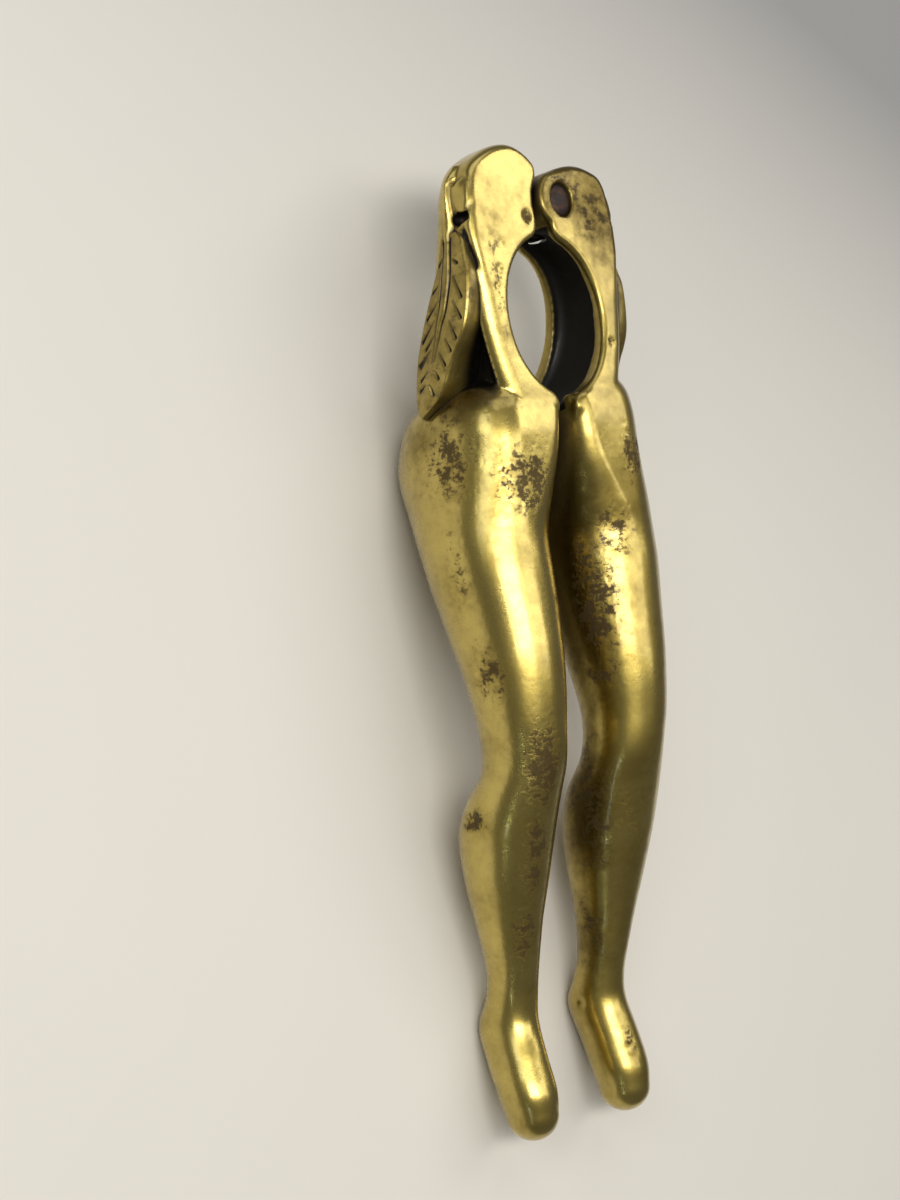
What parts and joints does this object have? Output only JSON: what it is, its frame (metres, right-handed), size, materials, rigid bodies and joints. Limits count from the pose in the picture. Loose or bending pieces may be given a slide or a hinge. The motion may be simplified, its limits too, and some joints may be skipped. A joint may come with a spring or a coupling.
{
  "type": "nutcracker",
  "caption": "Cast brass nutcracker shaped as a pair of legs, with leaf ornament on each hollowed head, pivoting on one iron rivet.",
  "frame": {"origin": "Middle of the closed nutcracker seen from the front, on the surface that it lies on.", "axes": "+Y towards the hinge end, -Y towards the toes, +Z the front of the legs, X = 0 between the two closed legs."},
  "size_m": [0.0386, 0.1351, 0.0227],
  "materials": {
    "brass": "worn satin casting with dark patina",
    "iron": "dark and matt"
  },
  "bodies": {
    "right_leg": {"right_leg": "brass", "hinge_pin": "iron"},
    "left_leg": {"left_leg": "brass"}
  },
  "joints": [
    {"name": "hinge", "type": "hinge", "parent": "right_leg", "child": "left_leg", "pos_m": [0.0041, 0.0604, 0.0183], "axis": [0, 0, 1], "range_deg": [-3.5, 60]}
  ]
}
